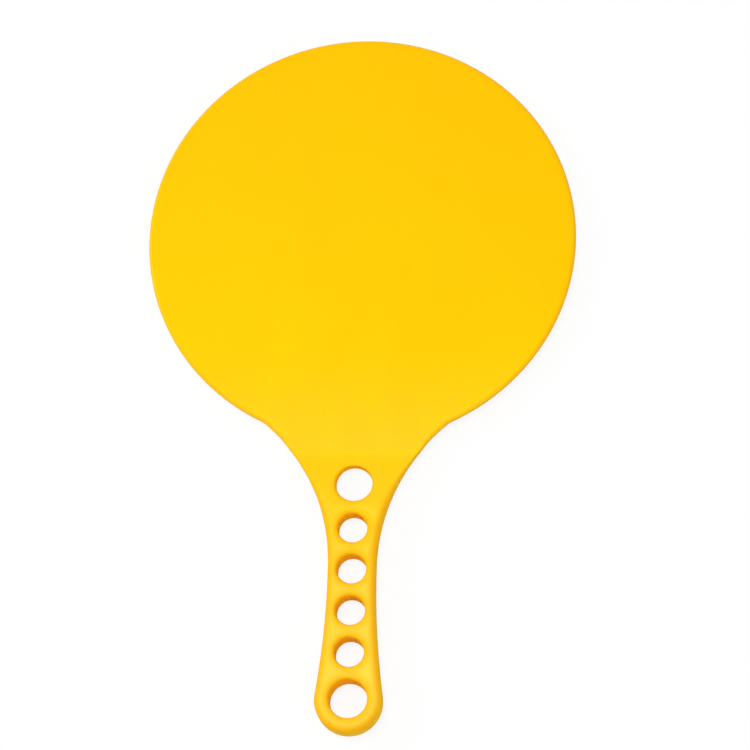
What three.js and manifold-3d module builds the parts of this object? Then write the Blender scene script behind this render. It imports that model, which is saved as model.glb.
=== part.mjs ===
// Beach tennis racket: a flat round blade on a tang, between two grip scales.
// Millimetres. The racket lies on its back: X across, +Y towards the blade's tip, +Z the front face.
// Shapes are drawn from the blade's centre, and the whole racket is then set on its base.

import * as THREE from "three";
import { mergeVertices } from "three/addons/utils/BufferGeometryUtils.js";
import Module from "manifold-3d";

const wasm = await Module();
wasm.setup();

// Blade plate
const bladeRadius = 112;
const plateThickness = 4.5;
const bladeEdgeRound = 2;

// Outline of the neck and grip, with places measured down from the blade's lowest rim
const neckWidth = 95.9;
const neckCornerRound = 12;
const waistFromRim = 65.2;
const waistLength = 4;
const waistWidth = 24.3;

// Row of holes, from the neck to the hanging hole at the end
const neckHoleFromRim = 22.35;
const neckHoleRadius = 9.35;
const neckWeb = 6.95;
const gripHoleRadius = 7.4;
const gripHoleCount = 4;
const gripWeb = 6.45;
const hangHoleRadius = 9.6;
const endWall = 7.35;

// Grip scales
const scaleFromRim = 4;
const scaleLip = 0.8;
const shoulderGap = 0.4;
const shoulderThickness = 11.6;
const endThickness = 15.2;
const gripEdgeRound = 3.8;
const holeRimRound = 2;

// Pegs that hold the scales together through the tang
const pegRadius = 2;
const pegRoot = 1;
const pegClearance = 0.3;
const socketDepth = 1.8;
const pegSpreadShare = 0.55;

// Cutting and facets
const overrun = 0.5;
const bladeSteps = 96;
const cornerSteps = 3;
const neckSteps = 12;
const buttSteps = 5;
const endSteps = 20;
const holeSteps = 28;
const pegSteps = 12;
const edgeSteps = 4;
const rimSweepShare = 0.8;

// Places along the centre line, from the blade's centre
const scaleTop = -bladeRadius - scaleFromRim;
const waistTop = -bladeRadius - waistFromRim;
const waistBottom = waistTop - waistLength;
const holes = holeRow();
const neckHole = holes[0];
const hangHole = holes[holes.length - 1];
const shoulder = neckHole.y - neckHole.radius - holeRimRound - shoulderGap;

// Radii that follow from the outline's widths and places
const waistHalf = waistWidth / 2;
const neckCorner = new THREE.Vector2(neckWidth / 2, -Math.sqrt(bladeRadius ** 2 - (neckWidth / 2) ** 2));
const neckArcRadius = arcThroughPoint(neckCorner.x - waistHalf, neckCorner.y - waistTop);
const neckX = waistHalf + neckArcRadius;
const cornerRound = cornerRoundCentre();
const endRadius = hangHoleRadius + endWall;
const buttArcRadius = arcOntoCircle(waistHalf, waistBottom - hangHole.y, endRadius);

const plateHalf = plateThickness / 2;
const gripHalf = endThickness / 2;
const baseHalf = taperHalf(hangHole.y - endRadius + gripEdgeRound);

// Centres and radii of the holes from the neck down, with equal webs between the grip holes
function holeRow() {
  const row = [{ y: -bladeRadius - neckHoleFromRim, radius: neckHoleRadius }];
  let rim = row[0].y - neckHoleRadius - neckWeb;
  for (let index = 0; index < gripHoleCount; index += 1) {
    row.push({ y: rim - gripHoleRadius, radius: gripHoleRadius });
    rim -= 2 * gripHoleRadius + gripWeb;
  }
  row.push({ y: rim - hangHoleRadius, radius: hangHoleRadius });
  return row;
}

// Radius of the arc that leaves the waist straight and passes a point that far out and up
function arcThroughPoint(out, up) {
  return (out ** 2 + up ** 2) / (2 * out);
}

// Centre of the round that fills the right corner between the blade and the neck
function cornerRoundCentre() {
  const near = bladeRadius + neckCornerRound;
  const far = neckArcRadius - neckCornerRound;
  const span = Math.hypot(neckX, waistTop);
  const along = (near ** 2 - far ** 2 + span ** 2) / (2 * span);
  const across = Math.sqrt(near ** 2 - along ** 2);
  const x = (along * neckX + across * waistTop) / span;
  return new THREE.Vector2(x, (along * waistTop - across * neckX) / span);
}

// Radius of the arc that leaves the waist straight and runs smoothly onto the end circle
function arcOntoCircle(half, down, radius) {
  return (half ** 2 + down ** 2 - radius ** 2) / (2 * (radius - half));
}

// Half the grip's thickness below the shoulder, which grows evenly towards the hanging hole
function taperHalf(y) {
  const rise = (endThickness - shoulderThickness) / 2;
  return shoulderThickness / 2 + (rise * (shoulder - y)) / (shoulder - hangHole.y);
}

// Half the thickness on the ramp between the scale's thin top edge and the shoulder
function rampHalf(y) {
  const start = plateHalf + scaleLip;
  return start + ((shoulderThickness / 2 - start) * (scaleTop - y)) / (scaleTop - shoulder);
}

// Half the outline's width at a place on the neck or grip
function outlineHalf(y) {
  if (y > waistTop) {
    return neckX - Math.sqrt(neckArcRadius ** 2 - (y - waistTop) ** 2);
  }
  const down = Math.max(waistBottom - y, 0);
  return waistHalf + buttArcRadius - Math.sqrt(buttArcRadius ** 2 - down ** 2);
}

function arcPoints(x, y, radius, from, to, steps) {
  return Array.from({ length: steps + 1 }, (_, index) => {
    const angle = from + ((to - from) * index) / steps;
    return new THREE.Vector2(x + radius * Math.cos(angle), y + radius * Math.sin(angle));
  });
}

// The round between the blade and the neck, on the left or the right
function cornerPoints(side, from, to) {
  return arcPoints(side * cornerRound.x, cornerRound.y, neckCornerRound, from, to, cornerSteps);
}

// The whole outline, counter-clockwise from the right end of the blade's arc
function racketOutline() {
  const cornerAngle = Math.atan2(cornerRound.y, cornerRound.x);
  const neckAngle = Math.atan2(cornerRound.y - waistTop, neckX - cornerRound.x);
  const buttX = waistHalf + buttArcRadius;
  const buttAngle = Math.atan2(waistBottom - hangHole.y, buttX);
  const blade = arcPoints(0, 0, bladeRadius, cornerAngle, Math.PI - cornerAngle, bladeSteps);
  const leftCorner = cornerPoints(-1, -cornerAngle, neckAngle);
  const leftNeck = arcPoints(-neckX, waistTop, neckArcRadius, neckAngle, 0, neckSteps);
  const leftButt = arcPoints(-buttX, waistBottom, buttArcRadius, 0, -buttAngle, buttSteps);
  const end = arcPoints(0, hangHole.y, endRadius, Math.PI - buttAngle, 2 * Math.PI + buttAngle, endSteps);
  const rightButt = arcPoints(buttX, waistBottom, buttArcRadius, Math.PI + buttAngle, Math.PI, buttSteps);
  const rightNeck = arcPoints(neckX, waistTop, neckArcRadius, Math.PI, Math.PI - neckAngle, neckSteps);
  const rightCorner = cornerPoints(1, Math.PI - neckAngle, Math.PI + cornerAngle);
  return [
    ...blade,
    ...leftCorner.slice(1),
    ...leftNeck.slice(1),
    ...leftButt,
    ...end.slice(1),
    ...rightButt.slice(1),
    ...rightNeck,
    ...rightCorner.slice(1, -1),
  ];
}

// A slab of the racket's outline, centred on its mid-plane, with rounded edges
function roundedSlab(thickness, round) {
  const geometry = new THREE.ExtrudeGeometry(new THREE.Shape(racketOutline()), {
    depth: thickness - 2 * round,
    bevelThickness: round,
    bevelSize: round,
    bevelOffset: -round,
    bevelSegments: edgeSteps,
  });
  return geometry.translate(0, 0, round - thickness / 2);
}

function squareSlab(thickness) {
  const shape = new THREE.Shape(racketOutline());
  const geometry = new THREE.ExtrudeGeometry(shape, { depth: thickness, bevelEnabled: false });
  return geometry.translate(0, 0, -thickness / 2);
}

// Turned cutter for one hole of the grip, with rims that round over onto both faces
function rimmedCutter(hole) {
  const side = [];
  for (let index = 0; index <= edgeSteps; index += 1) {
    const angle = (rimSweepShare * (Math.PI / 2) * index) / edgeSteps;
    const out = hole.radius + holeRimRound * (1 - Math.cos(angle));
    side.push(new THREE.Vector2(out, gripHalf - holeRimRound * (1 - Math.sin(angle))));
  }
  const last = side[side.length - 1];
  const up = gripHalf + overrun - last.y;
  side.push(new THREE.Vector2(last.x + up * Math.tan(rimSweepShare * (Math.PI / 2)), gripHalf + overrun));
  side.push(new THREE.Vector2(0, gripHalf + overrun));
  const lower = side.map((point) => new THREE.Vector2(point.x, -point.y)).reverse();
  const geometry = new THREE.LatheGeometry([...lower, ...side], holeSteps);
  return geometry.rotateX(Math.PI / 2).translate(0, hole.y, 0);
}

// Thins or thickens a slab along the racket, so that its flat faces become sloping planes
function withThickness(geometry, halfAt) {
  const position = geometry.getAttribute("position");
  for (let index = 0; index < position.count; index += 1) {
    position.setZ(index, (position.getZ(index) * halfAt(position.getY(index))) / gripHalf);
  }
  return geometry;
}

// Round rod along Z, between two heights
function rod(x, y, radius, low, high, steps) {
  const geometry = new THREE.CylinderGeometry(radius, radius, high - low, steps);
  return geometry.rotateX(Math.PI / 2).translate(x, y, (low + high) / 2);
}

// Block over the part of the racket below the scales' top edge, between two heights
function gripBlock(low, high) {
  const width = 2 * (bladeRadius + overrun);
  const length = scaleTop - hangHole.y + endRadius + overrun;
  const geometry = new THREE.BoxGeometry(width, length, high - low);
  return geometry.translate(0, scaleTop - length / 2, (low + high) / 2);
}

// A pair of places for pegs beside the middle of each web between two holes
function pegPlaces() {
  const places = [];
  for (let index = 1; index < holes.length; index += 1) {
    const upperRim = holes[index - 1].y - holes[index - 1].radius;
    const lowerRim = holes[index].y + holes[index].radius;
    const y = (upperRim + lowerRim) / 2;
    const x = pegSpreadShare * outlineHalf(y);
    places.push({ x: -x, y }, { x, y });
  }
  return places;
}

function solidFrom(geometry) {
  geometry.deleteAttribute("normal");
  geometry.deleteAttribute("uv");
  const merged = mergeVertices(geometry);
  const vertProperties = new Float32Array(merged.getAttribute("position").array);
  const triVerts = new Uint32Array(merged.getIndex().array);
  return new wasm.Manifold(new wasm.Mesh({ numProp: 3, vertProperties, triVerts }));
}

function meshFrom(name, solid, material) {
  const { vertProperties, triVerts } = solid.getMesh();
  const geometry = new THREE.BufferGeometry();
  geometry.setAttribute("position", new THREE.BufferAttribute(vertProperties, 3));
  geometry.setIndex(new THREE.BufferAttribute(triVerts, 1));
  geometry.computeVertexNormals();
  const mesh = new THREE.Mesh(geometry, material);
  mesh.name = name;
  return mesh;
}

// Round blade with a rounded edge, and a square-edged tang that fills the grip
function bladePlate() {
  const tang = solidFrom(squareSlab(plateThickness)).intersect(solidFrom(gripBlock(-gripHalf, gripHalf)));
  let plate = solidFrom(roundedSlab(plateThickness, bladeEdgeRound)).add(tang);
  for (const hole of holes) {
    plate = plate.subtract(solidFrom(rod(0, hole.y, hole.radius, -gripHalf, gripHalf, holeSteps)));
  }
  for (const peg of pegPlaces()) {
    const radius = pegRadius + pegClearance;
    plate = plate.subtract(solidFrom(rod(peg.x, peg.y, radius, -gripHalf, gripHalf, pegSteps)));
  }
  return plate;
}

// Outer form of the whole grip: a ramp up from the blade, a shoulder, and a taper to the end
function gripForm() {
  const taper = solidFrom(withThickness(roundedSlab(endThickness, gripEdgeRound), taperHalf));
  const ramp = solidFrom(withThickness(roundedSlab(endThickness, gripEdgeRound), rampHalf));
  let form = taper.intersect(ramp);
  for (const hole of holes) {
    const halfAt = hole === neckHole ? rampHalf : taperHalf;
    form = form.subtract(solidFrom(withThickness(rimmedCutter(hole), halfAt)));
  }
  return form;
}

// Front scale, with the pegs moulded on its back
function frontScale(form) {
  let scale = form.intersect(solidFrom(gripBlock(plateHalf, gripHalf + gripEdgeRound)));
  const tip = -plateHalf - socketDepth + pegClearance;
  for (const peg of pegPlaces()) {
    scale = scale.add(solidFrom(rod(peg.x, peg.y, pegRadius, tip, plateHalf + pegRoot, pegSteps)));
  }
  return scale;
}

// Back scale, with blind sockets for the pegs
function backScale(form) {
  let scale = form.intersect(solidFrom(gripBlock(-gripHalf - gripEdgeRound, -plateHalf)));
  const radius = pegRadius + pegClearance;
  for (const peg of pegPlaces()) {
    const socket = rod(peg.x, peg.y, radius, -plateHalf - socketDepth, -plateHalf + overrun, pegSteps);
    scale = scale.subtract(solidFrom(socket));
  }
  return scale;
}

function yellowPlastic(color, roughness) {
  return new THREE.MeshStandardMaterial({ color, roughness, metalness: 0, flatShading: true });
}

function racket() {
  const form = gripForm();
  const group = new THREE.Group();
  group.add(
    meshFrom("blade_plate", bladePlate(), yellowPlastic("#ffcd0e", 0.5)),
    meshFrom("grip_scale_front", frontScale(form), yellowPlastic("#ffd21e", 0.42)),
    meshFrom("grip_scale_back", backScale(form), yellowPlastic("#ffd01a", 0.42)),
  );
  const length = bladeRadius + endRadius - hangHole.y;
  group.position.set(0, length / 2 - bladeRadius, baseHalf);
  return group;
}

export default racket();
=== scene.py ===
"""Beach tennis racket in moulded yellow plastic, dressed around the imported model's frame.

Everything is in metres in the frame's own axes: X across the blade, +Y towards its tip, and +Z out
of the front face. The flat blade and the two grip scales are drawn as flat sheets of the racket's
plan, which Geometry Nodes then raise, round over and close.
"""

import logging
import math
from dataclasses import dataclass, field
from enum import Enum

import bpy
from mathutils import Matrix, Vector, geometry


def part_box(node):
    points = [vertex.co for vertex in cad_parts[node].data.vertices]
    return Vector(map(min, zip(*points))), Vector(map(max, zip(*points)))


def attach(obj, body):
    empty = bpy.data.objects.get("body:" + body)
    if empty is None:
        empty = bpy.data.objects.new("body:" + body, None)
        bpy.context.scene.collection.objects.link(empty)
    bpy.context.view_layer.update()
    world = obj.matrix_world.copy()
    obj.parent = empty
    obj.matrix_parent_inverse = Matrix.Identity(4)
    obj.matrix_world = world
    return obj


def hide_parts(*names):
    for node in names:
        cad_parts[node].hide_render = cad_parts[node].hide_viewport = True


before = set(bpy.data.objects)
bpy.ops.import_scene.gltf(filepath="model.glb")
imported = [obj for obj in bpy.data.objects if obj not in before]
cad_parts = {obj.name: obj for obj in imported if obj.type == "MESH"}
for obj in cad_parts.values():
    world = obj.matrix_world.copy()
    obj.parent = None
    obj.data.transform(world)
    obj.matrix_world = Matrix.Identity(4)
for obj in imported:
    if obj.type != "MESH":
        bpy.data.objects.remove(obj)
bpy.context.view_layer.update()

LOG = logging.getLogger("beach_racket")
BODY = "root"
WELD = 1e-6
MESHING_EPSILON = WELD / 100
FULL_TURN = 2 * math.pi
QUARTER_TURN = math.pi / 2
WHITE = (1.0, 1.0, 1.0, 1.0)
PROFILE = ("Scale Top", "Shoulder", "Hang", "Lip Half", "Shoulder Half", "End Half", "Blend", "Ease")

Point = tuple[float, float]
Colour = tuple[float, float, float]
Socket = bpy.types.NodeSocket
Tree = bpy.types.NodeTree
Value = Socket | bpy.types.Material | float | bool | str | tuple


class Slot(Enum):
    """Material slots of the record."""

    BLADE = "blade_plastic"
    GRIP = "grip_plastic"


class TreeKind(Enum):
    """What a node group works on, by Blender's name for its tree."""

    SHADER = "ShaderNodeTree"
    GEOMETRY = "GeometryNodeTree"


class Face(Enum):
    """Side of the racket that a scale lies on, as the sign of its Z direction."""

    FRONT = 1.0
    BACK = -1.0


@dataclass(frozen=True)
class RacketSizes:
    """Driving sizes in metres. Places run down from the blade's lowest rim, as on the real racket."""

    plate_thickness: float = 0.0045
    blade_round: float = 0.002
    neck_width: float = 0.0959
    corner_round: float = 0.012
    waist_from_rim: float = 0.0652
    waist_length: float = 0.004
    waist_width: float = 0.0243
    neck_hole_from_rim: float = 0.02235
    neck_hole_radius: float = 0.00935
    neck_web: float = 0.00695
    grip_hole_radius: float = 0.0074
    grip_hole_count: int = 4
    grip_web: float = 0.00645
    hang_hole_radius: float = 0.0096
    end_wall: float = 0.00735
    scale_from_rim: float = 0.004
    scale_lip: float = 0.00012
    lip_round: float = 0.00012
    shoulder_from_hole: float = 0.0024
    shoulder_thickness: float = 0.0116
    shoulder_blend: float = 0.0004
    ramp_ease: float = 0.008
    end_thickness: float = 0.0152
    grip_round: float = 0.004
    rim_round: float = 0.002
    seam: float = 0.00012
    peg_radius: float = 0.002
    peg_clearance: float = 0.0003
    socket_depth: float = 0.0018
    peg_spread_share: float = 0.55


def spread(start: float, length: float, count: int) -> list[float]:
    """Values from a start over a length, which may be negative, in a count of even steps."""
    return [start + length * step / max(count, 1) for step in range(count + 1)]


def arc(x: float, y: float, reach: float, turns: list[float]) -> list[Point]:
    """Points at the given turns round a centre."""
    return [(x + reach * math.cos(turn), y + reach * math.sin(turn)) for turn in turns]


def mirrored(points: list[Point]) -> list[Point]:
    """The points on the other side of X = 0, in the opposite order."""
    return [(-x, y) for x, y in reversed(points)]


def round_insets(radius: float, steps: int) -> list[float]:
    """Insets of the rings that draw a quarter round evenly, from its edge to the flat."""
    return [radius * (1 - math.cos(turn)) for turn in spread(0.0, QUARTER_TURN, steps)]


def grid_points(half: float, bottom: float, top: float, spacing: float) -> list[Point]:
    """Staggered rows of points over a rectangle.

    Args:
        half: Half the rectangle's width about X = 0.
        bottom: Its lowest Y.
        top: Its highest Y.
        spacing: Distance between neighbours.

    Returns:
        The points, in rows that are symmetric about X = 0.
    """
    rows = math.ceil((top - bottom) / (spacing * math.sqrt(3) / 2))
    columns = math.ceil(half / spacing)
    made = []
    for row, y in enumerate(spread(bottom, top - bottom, rows)):
        odd = row % 2
        made += [((column + odd / 2) * spacing, y) for column in range(-columns - odd, columns + 1)]
    return made


@dataclass(frozen=True)
class Circle:
    """A round hole or peg in the plan."""

    x: float
    y: float
    radius: float

    def gap(self, point: Point) -> float:
        """Distance from a point to the circle's rim, negative inside it."""
        return math.hypot(point[0] - self.x, point[1] - self.y) - self.radius

    def grown(self, extra: float) -> "Circle":
        """The same circle with a larger radius."""
        return Circle(self.x, self.y, self.radius + extra)

    def ring(self, inset: float, steps: int) -> list[Point]:
        """Points round the circle, counter-clockwise and that far outside its rim."""
        return arc(self.x, self.y, self.radius + inset, spread(0.0, FULL_TURN, steps)[:-1])


class Plan:
    """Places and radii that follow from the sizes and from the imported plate's box."""

    def __init__(self, sizes: RacketSizes, low: Vector, high: Vector) -> None:
        """Works the plan out.

        Args:
            sizes: The racket's driving sizes.
            low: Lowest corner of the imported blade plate.
            high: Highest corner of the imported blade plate.
        """
        self.sizes = sizes
        self.blade_radius = (high.x - low.x) / 2
        self.centre_y = high.y - self.blade_radius
        self.middle_z = (low.z + high.z) / 2
        rim = self.centre_y - self.blade_radius
        self.scale_top = rim - sizes.scale_from_rim
        self.waist_top = rim - sizes.waist_from_rim
        self.waist_bottom = self.waist_top - sizes.waist_length
        self.waist_half = sizes.waist_width / 2
        self.holes = self._hole_row(rim)
        self.hang_y = self.holes[-1].y
        self.shoulder = self.holes[0].y - sizes.neck_hole_radius - sizes.shoulder_from_hole
        corner_y = self.centre_y - math.sqrt(self.blade_radius**2 - (sizes.neck_width / 2) ** 2)
        out = sizes.neck_width / 2 - self.waist_half
        up = corner_y - self.waist_top
        self.neck_radius = (out**2 + up**2) / (2 * out)
        self.neck_x = self.waist_half + self.neck_radius
        self.round_x, self.round_y = self._round_centre()
        self.blade_turn = math.atan2(self.round_y - self.centre_y, self.round_x)
        self.neck_turn = math.atan2(self.round_y - self.waist_top, self.neck_x - self.round_x)
        self.neck_top = self.waist_top + self.neck_radius * math.sin(self.neck_turn)
        self.end_radius = sizes.hang_hole_radius + sizes.end_wall
        drop = self.waist_bottom - self.hang_y
        widening = self.end_radius - self.waist_half
        self.butt_radius = (self.waist_half**2 + drop**2 - self.end_radius**2) / (2 * widening)
        self.butt_x = self.waist_half + self.butt_radius
        self.butt_angle = math.atan2(drop, self.butt_x)

    def _round_centre(self) -> Point:
        """Centre of the round that fills the right corner between the blade and the neck.

        Returns:
            The place from which the round touches the blade's circle and the neck's arc.
        """
        near = self.blade_radius + self.sizes.corner_round
        far = self.neck_radius - self.sizes.corner_round
        down = self.waist_top - self.centre_y
        span = math.hypot(self.neck_x, down)
        along = (near**2 - far**2 + span**2) / (2 * span)
        across = math.sqrt(near**2 - along**2)
        return (
            (along * self.neck_x + across * down) / span,
            self.centre_y + (along * down - across * self.neck_x) / span,
        )

    def _hole_row(self, rim: float) -> list[Circle]:
        """Holes from the neck down, with equal webs between the grip holes.

        Args:
            rim: Y of the blade's lowest rim.

        Returns:
            The neck hole, the grip holes and the hanging hole.
        """
        sizes = self.sizes
        row = [Circle(0.0, rim - sizes.neck_hole_from_rim, sizes.neck_hole_radius)]
        edge = row[0].y - sizes.neck_hole_radius - sizes.neck_web
        for _ in range(sizes.grip_hole_count):
            row.append(Circle(0.0, edge - sizes.grip_hole_radius, sizes.grip_hole_radius))
            edge -= 2 * sizes.grip_hole_radius + sizes.grip_web
        row.append(Circle(0.0, edge - sizes.hang_hole_radius, sizes.hang_hole_radius))
        return row

    def half_width(self, y: float) -> float:
        """Half the outline's width on the neck or the grip.

        Args:
            y: The place along the racket.

        Returns:
            Half the width there.
        """
        if y > self.waist_top:
            return self.neck_x - math.sqrt(self.neck_radius**2 - (y - self.waist_top) ** 2)
        down = max(self.waist_bottom - y, 0.0)
        return self.butt_x - math.sqrt(self.butt_radius**2 - down**2)

    def pegs(self, radius: float) -> list[Circle]:
        """A pair of pegs or sockets beside the middle of each web between two holes.

        Args:
            radius: Radius of the pegs or sockets.

        Returns:
            Their circles in the plan.
        """
        made = []
        for upper, lower in zip(self.holes, self.holes[1:]):
            y = (upper.y - upper.radius + lower.y + lower.radius) / 2
            x = self.sizes.peg_spread_share * self.half_width(y)
            made += [Circle(-x, y, radius), Circle(x, y, radius)]
        return made

    def inside(self, point: Point) -> bool:
        """Whether a point lies within the racket's outline.

        Args:
            point: The point.

        Returns:
            True in the blade, the neck, the grip or its round end.
        """
        x, y = abs(point[0]), point[1]
        in_blade = math.hypot(x, y - self.centre_y) < self.blade_radius
        in_end = math.hypot(x, y - self.hang_y) < self.end_radius
        return in_blade or in_end or (self.hang_y < y < self.neck_top and x < self.half_width(y))

    def rim_gap(self, point: Point) -> float:
        """Distance from a point to the rim of the nearest hole."""
        return min(hole.gap(point) for hole in self.holes)


class Outline:
    """The racket's outline as arcs, which can be drawn at any inset into the plastic."""

    STEP = 0.0012
    LEAST_STEPS = 3

    def __init__(self, plan: Plan) -> None:
        """Keeps the plan that the arcs are worked out from, and its sizes."""
        self.plan = plan
        self.sizes = plan.sizes

    def steps(self, length: float) -> int:
        """Number of even steps that a length is drawn with."""
        return round(length / self.STEP)

    def neck_half(self, y: float, inset: float) -> float:
        """Half width of the neck's inset arc at a height in the plan."""
        reach = self.plan.neck_radius + inset
        return self.plan.neck_x - math.sqrt(reach**2 - (y - self.plan.waist_top) ** 2)

    def neck_levels(self, top: float, extra: tuple[float, ...] = ()) -> list[float]:
        """Heights of the neck's points, which are the same at every inset.

        Args:
            top: Highest level.
            extra: Distances below the scales' top edge that get a level of their own.

        Returns:
            Levels from the top down to just above the waist.
        """
        plan = self.plan
        levels = [plan.scale_top - distance for distance in (0.0, *extra)]
        start = min(levels)
        above, below = top - plan.scale_top, start - plan.waist_top
        levels += spread(plan.scale_top, above, self.steps(above))[1:]
        levels += spread(start, -below, self.steps(below))[1:-1]
        return sorted(levels, reverse=True)

    def lower_path(self, inset: float, levels: list[float]) -> list[Point]:
        """Path down the left of the neck and grip, round the end and up the right.

        Args:
            inset: Distance into the plastic.
            levels: Heights of the neck's points, from the top down.

        Returns:
            The path's points.
        """
        plan, length = self.plan, self.sizes.waist_length
        side = [(-self.neck_half(y, inset), y) for y in levels]
        waist = spread(plan.waist_top, -length, self.steps(length))[:-1]
        side += [(inset - plan.waist_half, y) for y in waist]
        reach = plan.butt_radius + inset
        turns = spread(0.0, -plan.butt_angle, self.steps(reach * plan.butt_angle))[:-1]
        side += arc(-plan.butt_x, plan.waist_bottom, reach, turns)
        sweep = math.pi + 2 * plan.butt_angle
        turns = spread(math.pi - plan.butt_angle, sweep, 2 * self.steps(plan.end_radius * sweep / 2))
        return side + arc(0.0, plan.hang_y, plan.end_radius - inset, turns) + mirrored(side)

    def blade_path(self, inset: float) -> list[Point]:
        """Path from the right end of the blade's arc over its tip to the left end.

        Args:
            inset: Distance into the plastic.

        Returns:
            The path's points.
        """
        plan = self.plan
        sweep = math.pi - 2 * plan.blade_turn
        turns = spread(plan.blade_turn, sweep, 2 * self.steps(plan.blade_radius * sweep / 2))
        return arc(0.0, plan.centre_y, plan.blade_radius - inset, turns)

    def corner_path(self, inset: float) -> list[Point]:
        """Path of the left round, from past the blade's arc to the top of the neck's.

        Args:
            inset: Distance into the plastic.

        Returns:
            The path's points.
        """
        plan, radius = self.plan, self.sizes.corner_round
        sweep = plan.neck_turn + plan.blade_turn
        count = max(self.steps(abs(radius * sweep)), self.LEAST_STEPS)
        return arc(-plan.round_x, plan.round_y, radius + inset, spread(-plan.blade_turn, sweep, count)[1:])

    def loose_points(self, half: float, top: float, spacing: float, border: float,
                     voids: list[Circle], seats: list[Circle]) -> list[Point]:
        """Grid points inside the outline that stay clear of what is drawn already.

        Args:
            half: Half the width that the grid covers.
            top: Highest Y that it covers.
            spacing: Distance between neighbours, half of which stays clear.
            border: Width of the band along the outline that is drawn already.
            voids: Circles that stay empty.
            seats: Circles that are filled, with a drawn rim.

        Returns:
            The points.
        """
        margin = spacing / 2
        bottom = self.plan.hang_y - self.plan.end_radius
        return [
            point
            for point in grid_points(half, bottom, top, spacing)
            if self.plan.inside(point)
            and self.gap(point) >= border + margin
            and all(void.gap(point) > margin for void in voids)
            and all(abs(seat.gap(point)) > margin for seat in seats)
        ]

    def gap(self, point: Point) -> float:
        """Distance from a point inside the plan to the outline.

        Args:
            point: The point.

        Returns:
            Its distance to the nearest arc or straight.
        """
        plan = self.plan
        x, y = abs(point[0]), point[1]
        found = [plan.blade_radius]
        if math.atan2(y - plan.centre_y, x) >= plan.blade_turn:
            found.append(plan.blade_radius - math.hypot(x, y - plan.centre_y))
        if -plan.blade_turn >= math.atan2(y - plan.round_y, plan.round_x - x) >= plan.neck_turn:
            found.append(math.hypot(x - plan.round_x, y - plan.round_y) - self.sizes.corner_round)
        if 0 <= math.atan2(y - plan.waist_top, plan.neck_x - x) <= plan.neck_turn:
            found.append(math.hypot(x - plan.neck_x, y - plan.waist_top) - plan.neck_radius)
        if plan.waist_bottom <= y <= plan.waist_top:
            found.append(plan.waist_half - x)
        if 0 <= math.atan2(plan.waist_bottom - y, plan.butt_x - x) <= plan.butt_angle:
            found.append(math.hypot(x - plan.butt_x, y - plan.waist_bottom) - plan.butt_radius)
        if math.atan2(y - plan.hang_y, x) <= plan.butt_angle:
            found.append(plan.end_radius - math.hypot(x, y - plan.hang_y))
        return max(min(found), 0.0)


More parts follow.
